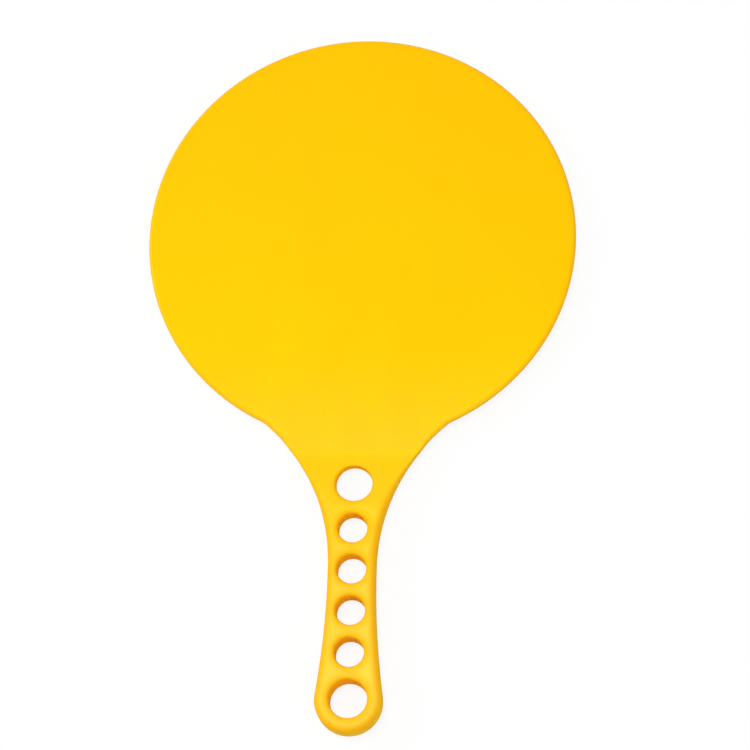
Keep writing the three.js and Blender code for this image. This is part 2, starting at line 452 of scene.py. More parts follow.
class Sheet:
    """A flat meshed region of the plan, from which a moulded piece is raised."""

    INSIDE_LOOPS = 1

    def __init__(self, outline: Outline) -> None:
        """Starts an empty sheet.

        Args:
            outline: The outline that the sheet fills.
        """
        self.outline = outline
        self.points: list[Point] = []
        self.faces: list[tuple[int, ...]] = []

    def add(self, points: list[Point]) -> list[int]:
        """Adds points and returns their indices."""
        self.points += points
        return list(range(len(self.points) - len(points), len(self.points)))

    def add_face(self, corners: tuple[int, ...]) -> None:
        """Adds a face, turned so that it looks up.

        Args:
            corners: Indices of its corners, in order round it.
        """
        area = 0.0
        for corner, after in zip(corners, corners[1:] + corners[:1]):
            (x0, y0), (x1, y1) = self.points[corner], self.points[after]
            area += x0 * y1 - x1 * y0
        self.faces.append(corners if area > 0 else corners[::-1])

    def rings(self, paths: list[list[Point]], closed: bool = True) -> list[int]:
        """Adds nested rings, each joined to the next by a band of four-sided faces.

        Args:
            paths: The rings' points, from the edge inwards. A band counts along its outer ring, so
                further points of the inner one are left out of it.
            closed: Whether the rings run all the way round.

        Returns:
            Indices of the innermost ring.
        """
        rows = [self.add(path) for path in paths]
        for outer, inner in zip(rows, rows[1:]):
            count = len(outer)
            for index in range(count if closed else count - 1):
                after = (index + 1) % count
                self.add_face((outer[index], outer[after], inner[after], inner[index]))
        return rows[-1]

    def fill(self, loops: list[list[int]], lines: list[list[int]], voids: list[Circle],
             loose: list[Point]) -> None:
        """Meshes the space between closed loops.

        Args:
            loops: Closed loops of indices that the mesh keeps as edges.
            lines: Open lines of indices that it keeps too.
            voids: Holes that stay empty.
            loose: Further points to place inside.
        """
        drawn = [index for path in [*loops, *lines] for index in path]
        used = list(dict.fromkeys(drawn + self.add(loose)))
        local = {index: place for place, index in enumerate(used)}
        joins = [join for loop in loops for join in zip(loop, loop[1:] + loop[:1])]
        joins += [join for line in lines for join in zip(line, line[1:])]
        edges = [(local[first], local[second]) for first, second in joins]
        corners = [Vector(self.points[index]) for index in used]
        found = geometry.delaunay_2d_cdt(corners, edges, [], self.INSIDE_LOOPS, MESHING_EPSILON)
        places = []
        for corner, sources in zip(found[0], found[3]):
            places.append(used[sources[0]] if sources else self.add([tuple(corner)])[0])
        for face in found[2]:
            ring = tuple(places[corner] for corner in face)
            middle = tuple(sum(self.points[index][axis] for index in ring) / len(ring) for axis in (0, 1))
            if all(void.gap(middle) > 0 for void in voids):
                self.add_face(ring)

    def mesh(self, name: str, seats: list[Circle]) -> bpy.types.Mesh:
        """Makes the flat mesh, with the distances that the moulding trees read.

        Args:
            name: Name of the mesh.
            seats: Pegs or sockets whose faces are marked.

        Returns:
            The mesh, with edge_gap and rim_gap on its points and peg_seat on its faces.
        """
        made = bpy.data.meshes.new(name)
        made.from_pydata([(x, y, 0.0) for x, y in self.points], [], self.faces)
        middles = [tuple(polygon.center)[:2] for polygon in made.polygons]
        marks = [any(seat.gap(middle) < 0 for seat in seats) for middle in middles]
        attributes = {
            ("edge_gap", "FLOAT", "POINT"): [self.outline.gap(point) for point in self.points],
            ("rim_gap", "FLOAT", "POINT"): [self.outline.plan.rim_gap(point) for point in self.points],
            ("peg_seat", "BOOLEAN", "FACE"): marks,
        }
        for kind, values in attributes.items():
            made.attributes.new(*kind).data.foreach_set("value", values)
        return made


class NodeSketch:
    """Adds nodes to a tree, with values or links as their inputs."""

    def __init__(self, tree: Tree) -> None:
        """Keeps the tree that the nodes go into."""
        self.tree = tree

    def feed(self, socket: Socket, value: Value) -> None:
        """Links a socket to another, or gives it a plain value.

        Args:
            socket: The input.
            value: Another node's output, or the plain value.
        """
        if isinstance(value, Socket):
            self.tree.links.new(value, socket)
        else:
            socket.default_value = value

    def node(self, kind: str, inputs: dict[str | int, Value], **settings: object) -> bpy.types.Node:
        """Adds one node.

        Args:
            kind: Blender's name for the node type.
            inputs: Values or sockets by input name or index.
            **settings: Properties of the node.

        Returns:
            The new node.
        """
        made = self.tree.nodes.new(kind)
        for key, value in settings.items():
            setattr(made, key, value)
        for key, value in inputs.items():
            self.feed(made.inputs[key], value)
        return made

    def first(self, kind: str, inputs: dict[str | int, Value], **settings: object) -> Socket:
        """Adds one node and returns its first output."""
        return self.node(kind, inputs, **settings).outputs[0]

    def math(self, operation: str, *values: Value) -> Socket:
        """Adds a Math node and returns its output."""
        return self.first("ShaderNodeMath", dict(enumerate(values)), operation=operation)

    def inverse(self, value: Value) -> Socket:
        """Adds 1 minus a value and returns it."""
        return self.math("SUBTRACT", 1.0, value)

    def smooth_step(self, value: Value, low: Value, high: Value) -> Socket:
        """Adds a smooth step from 0 at low to 1 at high and returns its output."""
        inputs = {0: value, 1: low, 2: high, 3: 0.0, 4: 1.0}
        return self.first("ShaderNodeMapRange", inputs, interpolation_type="SMOOTHSTEP")

    def near(self, gap: Value, reach: Value) -> Socket:
        """Adds a mask that falls smoothly from 1 at an edge to 0 at the reach."""
        return self.inverse(self.smooth_step(gap, 0.0, reach))

    def mix(self, factor: Value, first: Value, second: Value) -> Socket:
        """Adds a colour mix and returns its output."""
        inputs = {0: factor, 6: first, 7: second}
        return self.node("ShaderNodeMix", inputs, data_type="RGBA").outputs[2]

    def noise(self, place: Value, scale: Value, **settings: float) -> Socket:
        """Adds a noise texture, with its other inputs by lower-case name, and returns its level."""
        inputs = {"Vector": place, "Scale": scale, **{key.title(): settings[key] for key in settings}}
        return self.node("ShaderNodeTexNoise", inputs).outputs["Fac"]


class GroupSketch(NodeSketch):
    """A new node group, sketched between its named inputs and outputs."""

    KINDS = {"Vector": "Vector", "Sheet": "Geometry", "Piece": "Geometry", "Material": "Material"}

    def __init__(self, name: str, kind: TreeKind, inputs: tuple[str, ...], outputs: tuple[str, ...]) -> None:
        """Starts the group. A socket whose name has no kind of its own carries a number.

        Args:
            name: Name of the group.
            kind: What the group works on.
            inputs: Names of its inputs.
            outputs: Names of its outputs.
        """
        super().__init__(bpy.data.node_groups.new(name, kind.value))
        for way, names in (("INPUT", inputs), ("OUTPUT", outputs)):
            for socket in names:
                carries = "NodeSocket" + self.KINDS.get(socket, "Float")
                self.tree.interface.new_socket(name=socket, in_out=way, socket_type=carries)
        self.given = self.node("NodeGroupInput", {}).outputs

    def finish(self, outputs: dict[str, Value]) -> Tree:
        """Feeds the group's outputs and returns its tree."""
        self.node("NodeGroupOutput", outputs)
        return self.tree


def round_over_group() -> Tree:
    """Geometry node group for how far a rounded edge drops below its face.

    Returns:
        The group, from Gap, Width and Height to Drop.
    """
    group = GroupSketch("round_over", TreeKind.GEOMETRY, ("Gap", "Width", "Height"), ("Drop",))
    given = group.given
    short = group.math("MAXIMUM", group.math("SUBTRACT", given["Width"], given["Gap"]), 0.0)
    share = group.math("MINIMUM", group.math("DIVIDE", short, given["Width"]), 1.0)
    level = group.math("SQRT", group.inverse(group.math("POWER", share, 2.0)))
    return group.finish({"Drop": group.math("MULTIPLY", given["Height"], group.inverse(level))})


def grip_profile_group() -> Tree:
    """Geometry node group for the grip's height along the racket.

    Returns:
        The group, from Y and the profile's places and heights to Height above the mid-plane.
    """
    group = GroupSketch("grip_profile", TreeKind.GEOMETRY, ("Y", *PROFILE), ("Height",))
    given, ease = group.given, group.given["Ease"]

    def line(way: Value, length: Value, from_height: str, to_height: str) -> Socket:
        """Adds a slope between two named heights, for the way gone out of a length."""
        rise = group.math("SUBTRACT", given[to_height], given[from_height])
        return group.math("MULTIPLY_ADD", group.math("DIVIDE", way, length), rise, given[from_height])

    down = group.math("SUBTRACT", given["Scale Top"], given["Y"])
    start = group.math("MINIMUM", down, ease)
    curved = group.math("DIVIDE", group.math("MULTIPLY", start, start), group.math("MULTIPLY", ease, 2.0))
    eased = group.math("ADD", curved, group.math("SUBTRACT", down, start))
    length = group.math("SUBTRACT", given["Scale Top"], given["Shoulder"])
    ramp = line(eased, group.math("MULTIPLY_ADD", ease, -0.5, length), "Lip Half", "Shoulder Half")
    way = group.math("SUBTRACT", given["Shoulder"], given["Y"])
    length = group.math("SUBTRACT", given["Shoulder"], given["Hang"])
    taper = line(way, length, "Shoulder Half", "End Half")
    return group.finish({"Height": group.math("SMOOTH_MIN", ramp, taper, given["Blend"])})


class MouldingTree(GroupSketch):
    """A Geometry Nodes tree that raises a flat sheet into one closed moulded piece."""

    SHARP_ANGLE = math.radians(35)
    UP = (0.0, 0.0, 1.0)

    def __init__(self, name: str, floats: tuple[str, ...], round_over: Tree) -> None:
        """Starts the tree and reads what the sheet carries.

        Args:
            name: Name of the tree.
            floats: Names of its number inputs.
            round_over: The rounded edge's group.
        """
        super().__init__(name, TreeKind.GEOMETRY, ("Sheet", *floats, "Material"), ("Piece",))
        self.round_over = round_over
        self.split = self.node(
            "ShaderNodeSeparateXYZ", {0: self.first("GeometryNodeInputPosition", {})}
        ).outputs
        self.edge_gap = self.attribute("edge_gap")
        self.rim_gap = self.attribute("rim_gap")

    def attribute(self, name: str, kind: str = "FLOAT") -> Socket:
        """Reads a named attribute of the sheet."""
        return self.first("GeometryNodeInputNamedAttribute", {"Name": name}, data_type=kind)

    def drop(self, gap: Value, width: Value, height: Value) -> Socket:
        """Adds a rounded edge and returns how far it drops below its face."""
        inputs = {"Gap": gap, "Width": width, "Height": height}
        return self.first("GeometryNodeGroup", inputs, node_tree=self.round_over)

    def lift(self, part: Socket, height: Value) -> Socket:
        """Sets the Z of every point of a part of the mesh, and returns the part."""
        place = self.first("ShaderNodeCombineXYZ", {0: self.split["X"], 1: self.split["Y"], 2: height})
        return self.first("GeometryNodeSetPosition", {"Geometry": part, "Position": place})

    def raise_sheet(self, outer: Value, inner: Value) -> list[Socket]:
        """Makes the outer face with its walls, and the inner face.

        Args:
            outer: Z of the outer face.
            inner: Z of the inner face.

        Returns:
            The outer face with its walls, and the turned inner face.
        """
        sheet = self.given["Sheet"]
        inputs = {"Mesh": sheet, "Offset": self.UP, "Individual": False}
        grown = self.node("GeometryNodeExtrudeMesh", inputs, mode="FACES").outputs
        inputs = {"Switch": grown["Top"], "False": inner, "True": outer}
        height = self.first("GeometryNodeSwitch", inputs, input_type="FLOAT")
        turned = self.first("GeometryNodeFlipFaces", {"Mesh": sheet})
        return [self.lift(grown["Mesh"], height), self.lift(turned, inner)]

    def close(self, parts: list[Socket]) -> Tree:
        """Joins the parts, welds them, shades them and gives them their material.

        Args:
            parts: The meshes that make up the piece.

        Returns:
            The finished tree.
        """
        joined = self.node("GeometryNodeJoinGeometry", {})
        for part in parts:
            self.tree.links.new(part, joined.inputs[0])
        welded = self.first("GeometryNodeMergeByDistance", {"Geometry": joined.outputs[0], "Distance": WELD})
        soft = self.first("GeometryNodeSetShadeSmooth", {0: welded, "Shade Smooth": True})
        angle = self.node("GeometryNodeInputMeshEdgeAngle", {}).outputs["Unsigned Angle"]
        sharp = self.math("GREATER_THAN", angle, self.SHARP_ANGLE)
        inputs = {0: soft, "Selection": sharp, "Shade Smooth": False}
        crisp = self.first("GeometryNodeSetShadeSmooth", inputs, domain="EDGE")
        real = self.first("GeometryNodeRealizeInstances", {0: crisp})
        inputs = {"Geometry": real, "Material": self.given["Material"]}
        return self.finish({"Piece": self.first("GeometryNodeSetMaterial", inputs)})


def blade_tree(round_over: Tree) -> Tree:
    """Tree for the flat blade plate: two equal faces, rounded round the blade and square at the tang.

    Args:
        round_over: The rounded edge's group.

    Returns:
        The tree.
    """
    floats = ("Middle", "Half", "Round", "Seam", "Scale Top", "Blend")
    made = MouldingTree("moulded_blade", floats, round_over)
    given, seam = made.given, made.given["Seam"]
    end = made.math("ADD", given["Scale Top"], given["Blend"])
    bare = made.smooth_step(made.split["Y"], given["Scale Top"], end)
    width = made.math("MULTIPLY_ADD", bare, made.math("SUBTRACT", given["Round"], seam), seam)
    drop = made.math("ADD", made.drop(made.edge_gap, width, width), made.drop(made.rim_gap, seam, seam))
    half = made.math("SUBTRACT", given["Half"], drop)
    outer = made.math("ADD", given["Middle"], half)
    inner = made.math("SUBTRACT", given["Middle"], half)
    return made.close(made.raise_sheet(outer, inner))


def scale_tree(round_over: Tree, profile: Tree) -> Tree:
    """Tree for a grip scale: flat inside, tapered and rounded outside, with pegs or sockets.

    Args:
        round_over: The rounded edge's group.
        profile: The grip's height group.

    Returns:
        The tree.
    """
    rounds = ("Edge Round", "Rim Round", "Lip Round", "Seam", "Width Share", "Rise Share")
    floats = ("Side", "Middle", "Plate Half", "Peg Reach", *PROFILE, *rounds)
    made = MouldingTree("moulded_scale", floats, round_over)
    given, seam, side = made.given, made.given["Seam"], made.given["Side"]
    inputs = {"Y": made.split["Y"], **{name: given[name] for name in PROFILE}}
    flat = made.first("GeometryNodeGroup", inputs, node_tree=profile)
    rise = made.math("SUBTRACT", flat, given["Plate Half"])
    widest = made.math("MULTIPLY", rise, given["Width Share"])
    tallest = made.math("MULTIPLY", rise, given["Rise Share"])
    lip_gap = made.math("SUBTRACT", given["Scale Top"], made.split["Y"])
    for gap, name in ((made.edge_gap, "Edge Round"), (made.rim_gap, "Rim Round"), (lip_gap, "Lip Round")):
        width = made.math("SMOOTH_MIN", given[name], widest, given["Blend"])
        height = made.math("SMOOTH_MIN", given[name], tallest, given["Blend"])
        flat = made.math("SUBTRACT", flat, made.drop(gap, width, height))
    seams = made.math("ADD", made.drop(made.edge_gap, seam, seam), made.drop(made.rim_gap, seam, seam))
    bed = made.math("ADD", given["Plate Half"], seams)
    least = made.math("ADD", given["Plate Half"], made.math("MULTIPLY", seam, 2.0))
    crown = made.math("MAXIMUM", flat, least)
    outer = made.math("MULTIPLY_ADD", crown, side, given["Middle"])
    inner = made.math("MULTIPLY_ADD", bed, side, given["Middle"])
    shell, base = made.raise_sheet(outer, inner)
    push = made.first("ShaderNodeCombineXYZ", {"Z": made.math("MULTIPLY", given["Peg Reach"], side)})
    seats = made.attribute("peg_seat", "BOOLEAN")
    inputs = {"Mesh": base, "Selection": seats, "Offset": push, "Individual": False}
    pegged = made.first("GeometryNodeExtrudeMesh", inputs, mode="FACES")
    turned = {"Selection": made.math("LESS_THAN", side, 0.0)}
    parts = (shell, pegged)
    return made.close([made.first("GeometryNodeFlipFaces", {"Mesh": part, **turned}) for part in parts])


def raise_piece(name: str, flat: bpy.types.Mesh, tree: Tree, values: dict[str, Value]) -> bpy.types.Object:
    """Runs a moulding tree on a flat mesh and keeps the plain result.

    Args:
        name: Name of the piece.
        flat: The flat mesh.
        tree: The moulding tree.
        values: Values of the tree's inputs by name.

    Returns:
        The finished piece, at the origin, with no modifier left on it.
    """
    piece = bpy.data.objects.new(name, flat)
    bpy.context.scene.collection.objects.link(piece)
    modifier = piece.modifiers.new("moulding", "NODES")
    modifier.node_group = tree
    for item in tree.interface.items_tree:
        if item.item_type == "SOCKET" and item.in_out == "INPUT" and item.name in values:
            modifier[item.identifier] = values[item.name]
    graph = bpy.context.evaluated_depsgraph_get()
    plain = bpy.data.meshes.new_from_object(piece.evaluated_get(graph), depsgraph=graph)
    piece.modifiers.remove(modifier)
    piece.data = plain
    plain.name = name
    bpy.data.meshes.remove(flat)
    return piece


def settle(piece: bpy.types.Object, node: str) -> None:
    """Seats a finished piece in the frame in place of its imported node.

    Args:
        piece: The finished piece.
        node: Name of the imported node.
    """
    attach(piece, BODY)
    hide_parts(node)
    LOG.info("%s: %d faces on %s, for %s", piece.name, len(piece.data.polygons), BODY, node)


def satin_grain_group() -> Tree:
    """Shader group for the fine grain and soft unevenness of a satin moulding.

    Returns:
        The group, from Vector, Fine, Coarse and Coarse Share to Height.
    """
    inputs = ("Vector", "Fine", "Coarse", "Coarse Share")
    group = GroupSketch("satin_grain", TreeKind.SHADER, inputs, ("Height",))
    given = group.given
    fine = group.noise(given["Vector"], given["Fine"], detail=3.0, roughness=0.6)
    coarse = group.noise(given["Vector"], given["Coarse"], detail=1.0, roughness=0.4)
    return group.finish({"Height": group.math("MULTIPLY_ADD", coarse, given["Coarse Share"], fine)})


def flow_clouds_group() -> Tree:
    """Shader group for the faint clouds that the plastic leaves as it flows along the mould.

    Returns:
        The group, from Vector, Scale and Stretch to Tone.
    """
    group = GroupSketch("flow_clouds", TreeKind.SHADER, ("Vector", "Scale", "Stretch"), ("Tone",))
    given = group.given
    drawn = group.first("ShaderNodeCombineXYZ", {0: 1.0, 1: given["Stretch"], 2: 1.0})
    place = group.first("ShaderNodeVectorMath", {0: given["Vector"], 1: drawn}, operation="MULTIPLY")
    cloud = group.noise(place, given["Scale"], detail=2.0, distortion=0.6)
    return group.finish({"Tone": group.smooth_step(cloud, low=0.3, high=0.7)})


def rubbed_edges_group() -> Tree:
    """Shader group for edges rubbed pale and smooth by hands and sand, in patches.

    Returns:
        The group, from Vector, Edge Gap, Rim Gap, Reach and Scale to Mask.
    """
    inputs = ("Vector", "Edge Gap", "Rim Gap", "Reach", "Scale")
    group = GroupSketch("rubbed_edges", TreeKind.SHADER, inputs, ("Mask",))
    given = group.given
    most, least = 1.8, -0.2
    patch = group.noise(given["Vector"], given["Scale"], detail=3.0)
    nearest = group.math("MINIMUM", given["Edge Gap"], given["Rim Gap"])
    share = group.math("MULTIPLY_ADD", patch, most - least, least)
    reach = group.math("MULTIPLY", given["Reach"], share)
    return group.finish({"Mask": group.near(nearest, reach)})


def play_scuffs_group() -> Tree:
    """Shader group for the short fine scratches that sand and balls leave.

    Returns:
        The group, from Vector, Scale and Amount to Mask.
    """
    group = GroupSketch("play_scuffs", TreeKind.SHADER, ("Vector", "Scale", "Amount"), ("Mask",))
    given = group.given
    softness = 0.06
    low = group.inverse(given["Amount"])
    high = group.math("ADD", low, softness)
    total: Value = 0.0
    for turn, stretch in ((0.5, 14.0), (2.1, 18.0)):
        inputs = {"Vector": given["Vector"], "Rotation": (0.0, 0.0, turn), "Scale": (1.0, stretch, 1.0)}
        lines = group.noise(group.first("ShaderNodeMapping", inputs), given["Scale"], detail=2.0)
        total = group.math("MAXIMUM", total, group.smooth_step(lines, low, high))
    return group.finish({"Mask": total})


def edge_shade_and_dull_group() -> Tree:
    """Shader group for masks near the outline and the holes, for painted shade and rougher plastic.

    Returns:
        The group, from the gaps to the edge and the rims and four reaches to the masks Edge, Rim,
        Bore, Wall and Dull.
    """
    inputs = ("Edge Gap", "Rim Gap", "Edge Reach", "Rim Reach", "Wall Reach", "Dull Reach")
    outputs = ("Edge", "Rim", "Bore", "Wall", "Dull")
    group = GroupSketch("edge_depth", TreeKind.SHADER, inputs, outputs)
    given = group.given
    nearest = group.math("MINIMUM", given["Edge Gap"], given["Rim Gap"])
    # Edge, Rim and Bore carry painted shade; Wall and Dull make the plastic rougher, and Dull also clears
    # the painted sheen.
    masks = {
        "Edge": group.near(given["Edge Gap"], given["Edge Reach"]),
        "Rim": group.near(given["Rim Gap"], given["Rim Reach"]),
        "Bore": group.near(given["Rim Gap"], given["Wall Reach"]),
        "Wall": group.near(nearest, given["Wall Reach"]),
        "Dull": group.near(nearest, given["Dull Reach"]),
    }
    return group.finish(masks)


def toward_hand_ramp_group() -> Tree:
    """Shader group for a mask that grows along the racket towards the hand, as the painted sheen does.

    Returns:
        The group, from Vector, Start and End to Mask.
    """
    group = GroupSketch("hand_haze", TreeKind.SHADER, ("Vector", "Start", "End"), ("Mask",))
    given = group.given
    along = group.node("ShaderNodeSeparateXYZ", {0: given["Vector"]}).outputs["Y"]
    # The mask places the painted sheen and makes the edge reaches grow towards the grip.
    return group.finish({"Mask": group.inverse(group.smooth_step(along, given["End"], given["Start"]))})


@dataclass(frozen=True)
class PlasticFinish:
    """Satin yellow plastic with grain, flow clouds, rubbed edges and scuffs.

    A pale painted sheen grows towards the hand and is cleared near edges and holes. Edges, hole rims
    and hole walls get painted shade in a deeper orange and are rougher, and the painted shade and the
    roughness reach further where the racket is thick. Lengths are in metres and colours in linear light.
    """

    name: str
    colour: Colour
    deep: Colour
    # Painted shade: the deeper colour of the rounded edges and side walls.
    edge: Colour
    edge_share: float
    edge_reach: float
    dull_reach: float
    dull_share: float
    # Painted sheen: a paler colour that grows towards the hand from this start.
    painted_sheen: Colour
    painted_sheen_start: float
    sheen_tint: Colour
    cloud_scale: float
    scuff_amount: float
    pale: Colour = (1.0, 0.62, 0.02)
    # Painted shade round the holes' rims.
    rim: Colour = (0.97, 0.46, 0.004)
    # Painted shade: the deeper orange of the holes' walls.
    bore: Colour = (1.0, 0.485, 0.003)
    # Where the painted sheen is full, and how much of it is cleared near edges and rims.
    painted_sheen_end: float = -0.14
    painted_sheen_loss: float = 0.6
    rim_reach: float = 0.0015
    wall_reach: float = 0.00025
    thin_edge_reach: float = 0.0012
    thin_dull_reach: float = 0.0005
    # The painted edge shade and the roughness reach further between these places, where the racket is thick.
    thick_start: float = -0.040
    thick_end: float = -0.085
    roughness: float = 0.5
    dull_roughness: float = 1.0
    specular: float = 1.0
    ior: float = 1.6
    subsurface: float = 0.1
    scatter: Colour = (1.0, 0.45, 0.06)
    scatter_depth: float = 0.002
    fine_grain: float = 1500.0
    coarse_grain: float = 260.0
    coarse_share: float = 1.6
    grain_depth: float = 0.00003
    grain_strength: float = 0.6
    cloud_stretch: float = 0.45
    cloud_gloss: float = 0.05
    rub_scale: float = 90.0
    rub_reach: float = 0.0009
    rub_tone: float = 0.2
    rub_gloss: float = 0.06
    scuff_scale: float = 60.0
    scuff_tone: float = 0.1
    scuff_roughness: float = 0.1
    scuff_depth: float = 0.3

    def masks(self, sketch: NodeSketch, groups: dict[str, Tree]) -> dict[str, Socket]:
        """Places the shared groups in a material.

        Args:
            sketch: The material's tree.
            groups: The shared shader groups by name.

        Returns:
            What the groups put out, by name.
        """
        place = sketch.node("ShaderNodeTexCoord", {}).outputs["Object"]
        gaps = {}
        for name, attribute in (("Edge Gap", "edge_gap"), ("Rim Gap", "rim_gap")):
            gaps[name] = sketch.node("ShaderNodeAttribute", {}, attribute_name=attribute).outputs["Fac"]

        def group(name: str, inputs: dict[str, Value]) -> Socket:
            """Places a shared group on the piece's own coordinates."""
            return sketch.first("ShaderNodeGroup", {"Vector": place, **inputs}, node_tree=groups[name])

        def growing(thin: float, thick: float) -> Socket:
            """Adds a reach that grows from the thin neck to the thick grip."""
            return sketch.math("MULTIPLY_ADD", thickness, thick - thin, thin)

        thickness = group("hand_haze", {"Start": self.thick_start, "End": self.thick_end})
        reaches = {
            "Edge Reach": growing(self.thin_edge_reach, self.edge_reach),
            "Rim Reach": self.rim_reach,
            "Wall Reach": self.wall_reach,
            "Dull Reach": growing(self.thin_dull_reach, self.dull_reach),
        }
        depth = sketch.node("ShaderNodeGroup", {**gaps, **reaches}, node_tree=groups["edge_depth"])
        grain = {"Fine": self.fine_grain, "Coarse": self.coarse_grain, "Coarse Share": self.coarse_share}
        return {
            **{mask.name: mask for mask in depth.outputs},
            # Painted sheen, paler towards the hand.
            "Painted Sheen": group("hand_haze", {"Start": self.painted_sheen_start, "End": self.painted_sheen_end}),
            "Clouds": group("flow_clouds", {"Scale": self.cloud_scale, "Stretch": self.cloud_stretch}),
            "Rubbed": group("rubbed_edges", {**gaps, "Reach": self.rub_reach, "Scale": self.rub_scale}),
            "Scuffs": group("play_scuffs", {"Scale": self.scuff_scale, "Amount": self.scuff_amount}),
            "Grain": group("satin_grain", grain),
        }

    def mixed_colour(self, sketch: NodeSketch, masks: dict[str, Socket]) -> Socket:
        """Lays the finish's colours over one another.

        Args:
            sketch: The material's tree.
            masks: What the shared groups put out.

        Returns:
            The colour of the surface.
        """
        # The painted sheen is cleared near the edges and the holes' rims.
        cleared = sketch.math("MULTIPLY", masks["Dull"], self.painted_sheen_loss)
        cleared = sketch.math("MAXIMUM", masks["Edge"], cleared)
        rubbed = sketch.math("MULTIPLY", masks["Rubbed"], self.rub_tone)
        scuffed = sketch.math("MULTIPLY", masks["Scuffs"], self.scuff_tone)
        layers = (
            (masks["Clouds"], self.colour),
            # Painted sheen, paler towards the hand.
            (sketch.math("MULTIPLY", masks["Painted Sheen"], sketch.inverse(cleared)), self.painted_sheen),
            (sketch.math("MAXIMUM", rubbed, scuffed), self.pale),
            # Painted shade on the rounded edges and side walls.
            (sketch.math("MULTIPLY", masks["Edge"], self.edge_share), self.edge),
            # Painted shade round the holes' rims.
            (masks["Rim"], self.rim),
            # Painted shade: the deeper orange of the holes' walls.
            (masks["Bore"], self.bore),
        )
        mixed: Value = (*self.deep, 1.0)
        for mask, colour in layers:
            mixed = sketch.mix(mask, mixed, (*colour, 1.0))
        return mixed

    def mixed_roughness(self, sketch: NodeSketch, masks: dict[str, Socket]) -> Socket:
        """Lays the changes of the finish's roughness over one another.

        Args:
            sketch: The material's tree.
            masks: What the shared groups put out.

        Returns:
            The roughness of the surface.
        """
        rough: Value = self.roughness + self.cloud_gloss / 2
        changes = {"Clouds": -self.cloud_gloss, "Scuffs": self.scuff_roughness, "Rubbed": -self.rub_gloss}
        for name, change in changes.items():
            rough = sketch.math("MULTIPLY_ADD", masks[name], change, rough)
        dulled = sketch.math("MULTIPLY", masks["Dull"], self.dull_share)
        dulled = sketch.math("MAXIMUM", masks["Wall"], dulled)
        missing = sketch.math("SUBTRACT", self.dull_roughness, rough)
        return sketch.math("ADD", rough, sketch.math("MULTIPLY", dulled, missing))

    def material(self, groups: dict[str, Tree]) -> bpy.types.Material:
        """Builds the material.

        Args:
            groups: The shared shader groups by name.

        Returns:
            The material.
        """
        made = bpy.data.materials.new(self.name)
        made.use_nodes = True
        sketch = NodeSketch(made.node_tree)
        masks = self.masks(sketch, groups)
        height = sketch.math("MULTIPLY_ADD", masks["Scuffs"], -self.scuff_depth, masks["Grain"])
        bump = {"Height": height, "Distance": self.grain_depth, "Strength": self.grain_strength}
        inputs = {
            "Base Color": self.mixed_colour(sketch, masks),
            "Roughness": self.mixed_roughness(sketch, masks),
            "Normal": sketch.first("ShaderNodeBump", bump),
            "Specular IOR Level": self.specular,
            "IOR": self.ior,
            "Specular Tint": (*self.sheen_tint, 1.0),
            "Subsurface Weight": self.subsurface,
            "Subsurface Radius": self.scatter,
            "Subsurface Scale": self.scatter_depth,
        }
        for name, value in inputs.items():
            sketch.feed(made.node_tree.nodes["Principled BSDF"].inputs[name], value)
        return made


@dataclass
class BladePlate:
    """The flat blade with its neck and tang."""

    outline: Outline
    finish: PlasticFinish
    node: str = "blade_plate"
    slot: Slot = Slot.BLADE
    round_steps: int = 7
    hole_steps: int = 72
    peg_steps: int = 24
    spacing: float = 0.003
    square_start: float = 0.006

    def sheet(self) -> bpy.types.Mesh:
        """Draws the plate's plan, with its six holes and the pegs' holes.

        Returns:
            The flat mesh.
        """
        outline, plan, sizes = self.outline, self.outline.plan, self.outline.sizes
        sheet = Sheet(outline)
        levels = outline.neck_levels(plan.neck_top)[1:]
        paths = []
        for inset in sorted({*round_insets(sizes.blade_round, self.round_steps), sizes.seam}):
            corner = outline.corner_path(inset)
            lower = outline.lower_path(inset, levels)
            paths.append([*outline.blade_path(inset), *corner, *lower, *mirrored(corner)])
        loops = [sheet.rings(paths)]
        for hole in plan.holes:
            loops.append(sheet.rings([hole.ring(inset, self.hole_steps) for inset in (0.0, sizes.seam)]))
        bores = plan.pegs(sizes.peg_radius + sizes.peg_clearance)
        loops += [sheet.add(bore.ring(0.0, self.peg_steps)) for bore in bores]
        voids = [*(hole.grown(sizes.seam) for hole in plan.holes), *bores]
        top = plan.centre_y + plan.blade_radius
        loose = outline.loose_points(plan.blade_radius, top, self.spacing, sizes.blade_round, voids, [])
        sheet.fill(loops, [], voids, loose)
        return sheet.mesh(self.node + "_sheet", [])

    def build(self, tree: Tree, groups: dict[str, Tree]) -> bpy.types.Object:
        """Raises, dresses and seats the plate.

        Args:
            tree: The blade's moulding tree.
            groups: The shared shader groups.

        Returns:
            The finished plate.
        """
        plan, sizes = self.outline.plan, self.outline.sizes
        values = {
            "Middle": plan.middle_z,
            "Half": sizes.plate_thickness / 2,
            "Round": sizes.blade_round,
            "Seam": sizes.seam,
            "Scale Top": plan.scale_top,
            "Blend": self.square_start,
            "Material": self.finish.material(groups),
        }
        piece = raise_piece("blade", self.sheet(), tree, values)
        settle(piece, self.node)
        return piece


